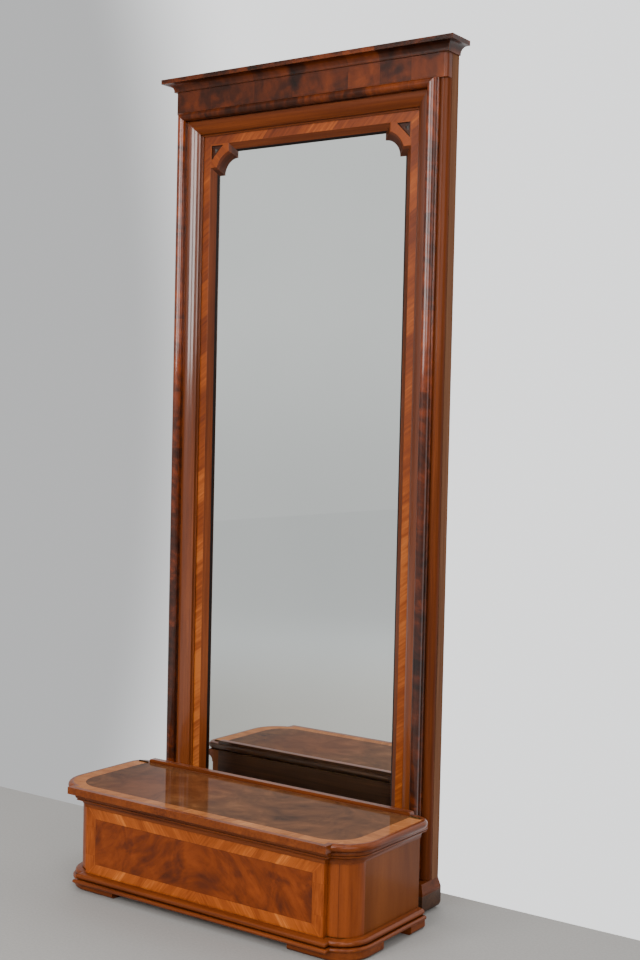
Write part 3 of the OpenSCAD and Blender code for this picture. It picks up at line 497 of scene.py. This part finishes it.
def frontVeneer():
    made, tree, shader = newMaterial("chest front veneers")
    where = objectCoords(tree)
    across, deep, rise = folded(tree, where, frontCentre, (0, 2))
    beyond = maths(tree, "SUBTRACT", across, front["fieldHalfWidth"])
    above = maths(tree, "SUBTRACT", rise, front["fieldHalfHeight"])
    outside = maths(tree, "MAXIMUM", beyond, above)
    mitre = fade(tree, maths(tree, "SUBTRACT", beyond, above), -front["mitreSoft"], front["mitreSoft"])
    border = frontBorder(tree, where, joined(tree, across, deep, rise), mitre)
    field, pores = frontField(tree, where)
    inBorder = fade(tree, outside, -front["fieldSoft"], front["fieldSoft"])
    colour = inlayLine(tree, mixColour(tree, inBorder, field, border), outside, front["line"])
    polish(tree, shader, colour, pores, flat)
    return made


dress(frontVeneer(), "front_panel")

# Chest sides: upright mahogany outside, bare pine within. Corner posts: two tones with a joint
chestSides = {"half": high("chest_right_side")[0] - chestMiddle, "veneer": 0.0015, "soft": 0.0004,
              "postJoint": 0.402, "postTone": 0.12}


def insideChest(tree, where):
    across, deep, rise = folded(tree, where, (chestMiddle, 0, 0), (0,))
    skin = chestSides["half"] - chestSides["veneer"]
    rearEnd = high("chest_back")[1] - chestSides["veneer"]
    return maths(tree, "MULTIPLY", fade(tree, across, skin, skin - chestSides["soft"]),
                 fade(tree, deep, rearEnd, rearEnd - chestSides["soft"]))


flankLook = grain("flank", alongZ, length=0.30, width=0.030, swirl=1.2, streakShare=0.3, lift=-0.03)
dress(twoWoods("chest side veneer", flankLook, grain("pine", alongZ), insideChest,
               dict(flat, coat=0.06, sheen=0.04)), "chest_left_side", "chest_right_side")
postJoints = [(chestMiddle - chestSides["postJoint"], chestSides["postTone"]),
              (chestMiddle + chestSides["postJoint"], -chestSides["postTone"])]
dress(wood("corner post veneer", grain(
    "chest", alongZ, length=0.25, width=0.012, swirl=0.8, joints=postJoints, lift=-0.03), flat),
      "left_corner_post", "right_corner_post")

# The rail and strip behind the lid are polished in front and stained at the back
rail = {"stainFrom": 0.0006, "stainTo": 0.0002, "coat": 0.3, "lift": -0.03}


def behindStrip(tree, where):
    stripBack = high("rear_strip")[1]
    return fade(tree, split(tree, where)[1], stripBack - rail["stainFrom"], stripBack - rail["stainTo"])


dress(twoWoods("rear rail mahogany", grain("moulding", alongX, lift=rail["lift"]), grain("stained", alongX),
               behindStrip, dict(gloss, coat=rail["coat"])), "rear_rail", "rear_strip")

# The chest's back: stained dark outside, pine within
chestBack = {"stain": 0.001, "soft": 0.0004}


def insideBack(tree, where):
    skin = high("chest_back")[1] - chestBack["stain"]
    return fade(tree, split(tree, where)[1], skin, skin - chestBack["soft"])


dress(twoWoods("chest back board", grain("stained", alongX), grain("pine", alongX), insideBack, satin),
      "chest_back")

# Lid: burr field with rounded corners at the front, crossbanded on three edges, plain below, with a painted
# reflection of the frame's left stile
lid = {
    "endBand": 0.038, "frontBand": 0.030, "cornerRadius": 0.075, "skin": 0.0012, "skinSoft": 0.0004,
    "fieldSoft": 0.0004, "mitreSoft": 0.0006,
    "line": {"width": 0.0008, "share": 0.6, "tint": (40, 22, 14)},
    "flames": [  # place from the middle and its depth, half sizes, turn and depth of tone
        (-0.15, -0.10, 0.12, 0.05, 20, 0.06), (0.02, -0.16, 0.10, 0.03, -25, 0.09),
        (0.22, -0.12, 0.14, 0.04, 10, 0.10), (-0.33, -0.06, 0.15, 0.13, 0, 0.12)],
    "paintedStileReflection": {"at": (-0.20, -0.07), "size": (0.24, 0.26, 0.2), "share": 0.38, "tint": (104, 50, 20)},
}
lidTop = high("lid_board")[2]
lidFlames = [{"at": (chestMiddle + x, y, lidTop), "size": (wide, tall, 0.2),
              "turn": (0, 0, lean), "depth": depth, "ragged": 0.06}
             for x, y, wide, tall, lean, depth in lid["flames"]]


# Distance outside the field, and 1 where the end bands lie instead of the front one
def lidField(tree, across, along):
    radius = lid["cornerRadius"]
    fieldHalf = high("lid_board")[0] - chestMiddle - lid["endBand"]
    fieldFront = low("lid_board")[1] + lid["frontBand"]
    pastX = maths(tree, "SUBTRACT", across, fieldHalf - radius)
    pastY = maths(tree, "SUBTRACT", fieldFront + radius, along)
    past = joined(tree, maths(tree, "MAXIMUM", pastX, 0.0), maths(tree, "MAXIMUM", pastY, 0.0), 0.0)
    within = maths(tree, "MINIMUM", maths(tree, "MAXIMUM", pastX, pastY), 0.0)
    reach = maths(tree, "ADD", vectorMaths(tree, "LENGTH", past), within)
    outside = maths(tree, "SUBTRACT", reach, radius)
    atEnds = fade(tree, maths(tree, "SUBTRACT", pastX, pastY), -lid["mitreSoft"], lid["mitreSoft"])
    return outside, atEnds


def lidBurrAndReflection(tree, where):
    burr, pores = woodPattern(tree, where, grain(
        "burr", (0, 0, 25), length=0.07, width=0.032, swirl=3.2, drift=0.12, driftScale=6.0,
        streakShare=0.4, flames=lidFlames))
    # Painted reflection: a warm orange-brown patch on the lid's left, where the frame's left stile is
    # mirrored
    paintedStileReflection = lid["paintedStileReflection"]
    stileReflectionShare = darkFlame(tree, where, {
        "at": (chestMiddle + paintedStileReflection["at"][0], paintedStileReflection["at"][1], lidTop), "size": paintedStileReflection["size"],
        "turn": (0, 0, 0), "depth": paintedStileReflection["share"], "ragged": 0.12})
    return mixColour(tree, stileReflectionShare, burr, tint(*paintedStileReflection["tint"])), pores


def lidBands(tree, where, atEnds):
    frontBand = woodPattern(tree, where, grain(
        "lidBand", (0, 0, 70), length=0.05, width=0.006, leaf=0.07, leafTurn=alongX, leafTone=0.16,
        poreTint=(90, 50, 26), jointShare=0.4))[0]
    endBand = woodPattern(tree, where, grain(
        "lidBand", alongX, length=0.05, width=0.006, leaf=0.08, leafTurn=alongY, leafTone=0.12,
        poreTint=(90, 50, 26), jointShare=0.4))[0]
    return mixColour(tree, atEnds, frontBand, endBand)


def lidVeneer():
    made, tree, shader = newMaterial("lid veneers")
    where = objectCoords(tree)
    across, along, rise = folded(tree, where, (chestMiddle, 0, 0), (0,))
    outside, atEnds = lidField(tree, across, along)
    burr, pores = lidBurrAndReflection(tree, where)
    inBand = fade(tree, outside, -lid["fieldSoft"], lid["fieldSoft"])
    colour = mixColour(tree, inBand, burr, lidBands(tree, where, atEnds))
    colour = inlayLine(tree, colour, outside, lid["line"])
    below = woodPattern(tree, where, grain("chest", alongX, lift=-0.05))[0]
    skin = lidTop - lid["skin"]
    colour = mixColour(tree, fade(tree, rise, skin, skin - lid["skinSoft"]), colour, below)
    polish(tree, shader, colour, pores, dict(flat, coat=0.26, coatRough=0.05, dirtAndShade=0.3, sheen=0.0))
    return made


dress(lidVeneer(), "lid_board")
print("chest dressed")

dress(wood("pine upright", grain("pine", alongZ), bare), "left_stile", "right_stile", "back_boards")
dress(wood("pine level", grain("pine", alongX), bare),
      "top_rail", "bottom_rail", "crown_core", "glass_blocks", "chest_bottom", "chest_front")
dress(wood("stained foot", grain("stained", alongX), satin), "left_foot", "right_foot")

# Glass and metals: a faint cloud of tone and polish over each
silvering = {"cloud": 2.2, "detail": 3.0, "tones": [(0.3, (242, 246, 243)), (0.7, (247, 250, 247))],
             "roughSpan": (0.3, 0.8), "rough": (0.004, 0.02)}
facets = {"cloud": 140.0, "detail": 4.0, "tones": [(0.35, (96, 92, 88)), (0.65, (150, 146, 140))],
          "roughSpan": (0.3, 0.7), "rough": (0.40, 0.55)}
brass = dict(facets, tones=[(0.35, (44, 30, 18)), (0.65, (84, 60, 32))], rough=(0.45, 0.60))


def metal(name, look):
    made, tree, shader = newMaterial(name)
    cloud = noise(tree, objectCoords(tree), scale=look["cloud"], detail=look["detail"])
    tree.links.new(ramp(tree, cloud, tonesOf(look["tones"])), shader.inputs["Base Color"])
    rough = stretched(tree, cloud, look["roughSpan"], look["rough"])
    tree.links.new(rough, shader.inputs["Roughness"])
    shader.inputs["Metallic"].default_value = 1.0
    return made


dress(metal("silvered glass", silvering), "mirror_glass")
dress(metal("dull silvered facets", facets), "bracket_ornaments")
dress(metal("darkened brass", brass), "hinge_rail_leaves", "hinge_lid_leaves", "hinge_pins")
print("materials on", len(nodes), "nodes")

# The camera stands where the photograph was taken from
view = {"place": (2.1792, -2.8202, 1.2160), "yaw": 35.037, "pitch": -2.176, "roll": 1.294,
        "focal": 1401.2, "imageHigh": 960, "sensorHigh": 36.0, "clipEnd": 60}
cameraData = bpy.data.cameras.new("view")
cameraData.sensor_fit = "VERTICAL"
cameraData.sensor_height = view["sensorHigh"]
cameraData.lens = view["focal"] / view["imageHigh"] * view["sensorHigh"]
cameraData.clip_end = view["clipEnd"]
camera = bpy.data.objects.new("view", cameraData)
bpy.context.collection.objects.link(camera)
aim = (Matrix.Rotation(math.radians(view["yaw"]), 4, "Z")
       @ Matrix.Rotation(math.radians(90 + view["pitch"]), 4, "X")
       @ Matrix.Rotation(math.radians(view["roll"]), 4, "Z"))
camera.matrix_world = Matrix.Translation(view["place"]) @ aim
bpy.context.scene.camera = camera

# Surrounding air: bright behind, softer in front, with one paler side that the glass looks into
air = {
    "tint": (0.98, 0.99, 1.0), "front": 0.24, "behind": 1.62, "behindFade": (-0.05, 0.35),
    "side": 0.80, "sideWay": (-0.57, -0.82, 0.0), "sideFade": (0.80, 0.97),
    "sideLow": 0.76, "sideRise": (-0.07, 0.09), "leftDim": 0.62, "leftFade": (-0.60, -0.68),
}
world = bpy.data.worlds.new("studio air")
bpy.context.scene.world = world
world.use_nodes = True
airTree = world.node_tree
way = airTree.nodes.new("ShaderNodeTexCoord").outputs["Generated"]
wayX, wayY, wayZ = split(airTree, way)
behind = fade(airTree, wayY, *air["behindFade"])
aside = fade(airTree, vectorMaths(airTree, "DOT_PRODUCT", way, air["sideWay"]), *air["sideFade"])
rising = fade(airTree, wayZ, *air["sideRise"])
aside = maths(airTree, "MULTIPLY", aside,
              maths(airTree, "MULTIPLY_ADD", rising, 1 - air["sideLow"], air["sideLow"]))
brightness = maths(airTree, "MULTIPLY_ADD", behind, air["behind"] - air["front"], air["front"])
brightness = maths(airTree, "MULTIPLY_ADD", aside, air["side"] - air["front"], brightness)
dimmed = maths(airTree, "MULTIPLY", fade(airTree, wayX, *air["leftFade"]), behind)
brightness = maths(airTree, "MULTIPLY", brightness,
                   maths(airTree, "MULTIPLY_ADD", dimmed, -air["leftDim"], 1.0))
background = airTree.nodes["Background"]
airTree.links.new(brightness, background.inputs["Strength"])
background.inputs["Color"].default_value = (*air["tint"], 1.0)

# A pale floor, whose far part glows a little and so melts into the air
ground = {"half": 9.0, "behind": 0.1, "near": (150, 147, 143), "far": (100, 101, 102),
          "blend": (1.8, 4.2), "glow": 0.485, "speckle": 160.0, "grit": 0.90, "rough": 0.85}
floorBack = cadBounds[1][1] + ground["behind"]
bpy.ops.mesh.primitive_plane_add(size=2 * ground["half"], location=(0, floorBack - ground["half"], 0))
floor = bpy.context.active_object
floor.name = "floor"
floorMaterial, floorTree, floorShader = newMaterial("pale floor")
floorWhere = objectCoords(floorTree)
objectFoot = (0.0, ground["half"] - floorBack, 0.0)  # in the floor's own coordinates
distant = fade(floorTree, vectorMaths(floorTree, "DISTANCE", floorWhere, objectFoot), *ground["blend"])
floorColour = mixColour(floorTree, distant, tint(*ground["near"]), tint(*ground["far"]))
speckle = noise(floorTree, floorWhere, scale=ground["speckle"])
gritTone = ground["grit"]
grit = ramp(floorTree, speckle, [(0.3, (gritTone, gritTone, gritTone, 1.0)), (0.7, (1.0, 1.0, 1.0, 1.0))])
floorColour = mixColour(floorTree, 1.0, floorColour, grit, "MULTIPLY")
floorTree.links.new(floorColour, floorShader.inputs["Base Color"])
floorShader.inputs["Roughness"].default_value = ground["rough"]
floorShader.inputs["Emission Color"].default_value = (*air["tint"], 1.0)
floorTree.links.new(maths(floorTree, "MULTIPLY", distant, ground["glow"]),
                    floorShader.inputs["Emission Strength"])
floor.data.materials.append(floorMaterial)

# Soft lamps, all in front of the object
lamps = [  # name, place, aimed at, width, height, watts
    ("front left", (-1.1, -3.9, 2.35), (-0.3, 0.1, 1.1), 1.1, 1.7, 80),
    ("front right", (0.5, -3.9, 2.35), (0.0, 0.1, 1.1), 1.1, 1.7, 85),
    ("fill", (4.4, -3.6, 2.8), (0.0, 0.0, 0.5), 4.0, 2.2, 190),
    ("top", (0.4, -1.8, 4.2), (0.0, 0.0, 0.4), 3.0, 3.0, 90),
]
for name, spot, target, wide, tall, watts in lamps:
    data = bpy.data.lights.new(name, "AREA")
    data.shape = "RECTANGLE"
    data.size = wide
    data.size_y = tall
    data.energy = watts
    lamp = bpy.data.objects.new(name, data)
    bpy.context.collection.objects.link(lamp)
    lamp.location = spot
    away = [a - b for a, b in zip(spot, target)]
    turn = math.atan2(away[0], -away[1])
    tip = math.atan2(math.hypot(away[0], away[1]), away[2])
    lamp.rotation_euler = (tip, 0, turn)
print("camera, floor and lamps placed")
